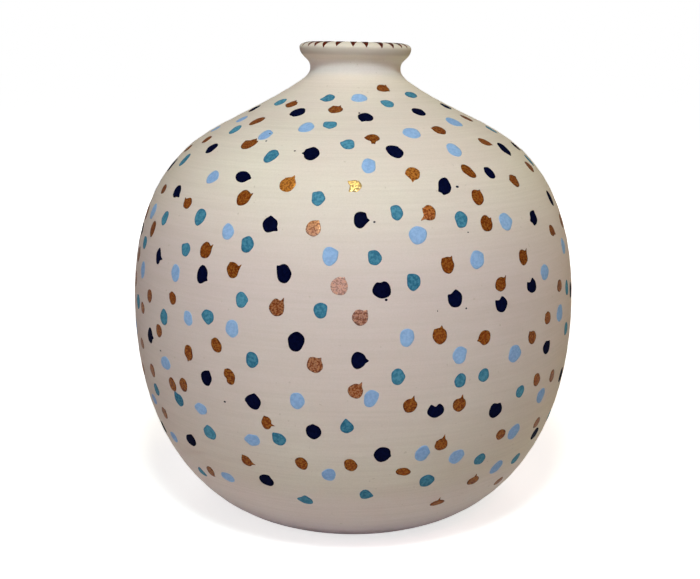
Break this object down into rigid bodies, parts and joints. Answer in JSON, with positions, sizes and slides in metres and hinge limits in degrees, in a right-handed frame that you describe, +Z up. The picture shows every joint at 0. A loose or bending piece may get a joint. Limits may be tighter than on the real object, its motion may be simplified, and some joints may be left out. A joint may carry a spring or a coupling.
{
  "type": "round vase",
  "caption": "Round ceramic vase with a narrow neck, a flared rounded rim and a flat foot, hollow, for holding flowers and water.",
  "frame": {"origin": "centre of the flat ring that the vase stands on, at table height", "axes": "+Z up along the vase's axis of turning; -Y is the pictured face"},
  "size_m": [0.248, 0.248, 0.258],
  "materials": {
    "painted_clay": "matte cream ground over fired clay, with fine turning lines",
    "navy_paint": "satin brushed paint",
    "teal_paint": "satin brushed paint",
    "light_blue_paint": "satin brushed paint",
    "bronze_paint": "metallic bronze paint with fine flakes"
  },
  "bodies": {
    "root": {"lower_bowl": "painted_clay", "upper_bowl": "painted_clay", "neck_collar": "painted_clay"}
  },
  "joints": []
}
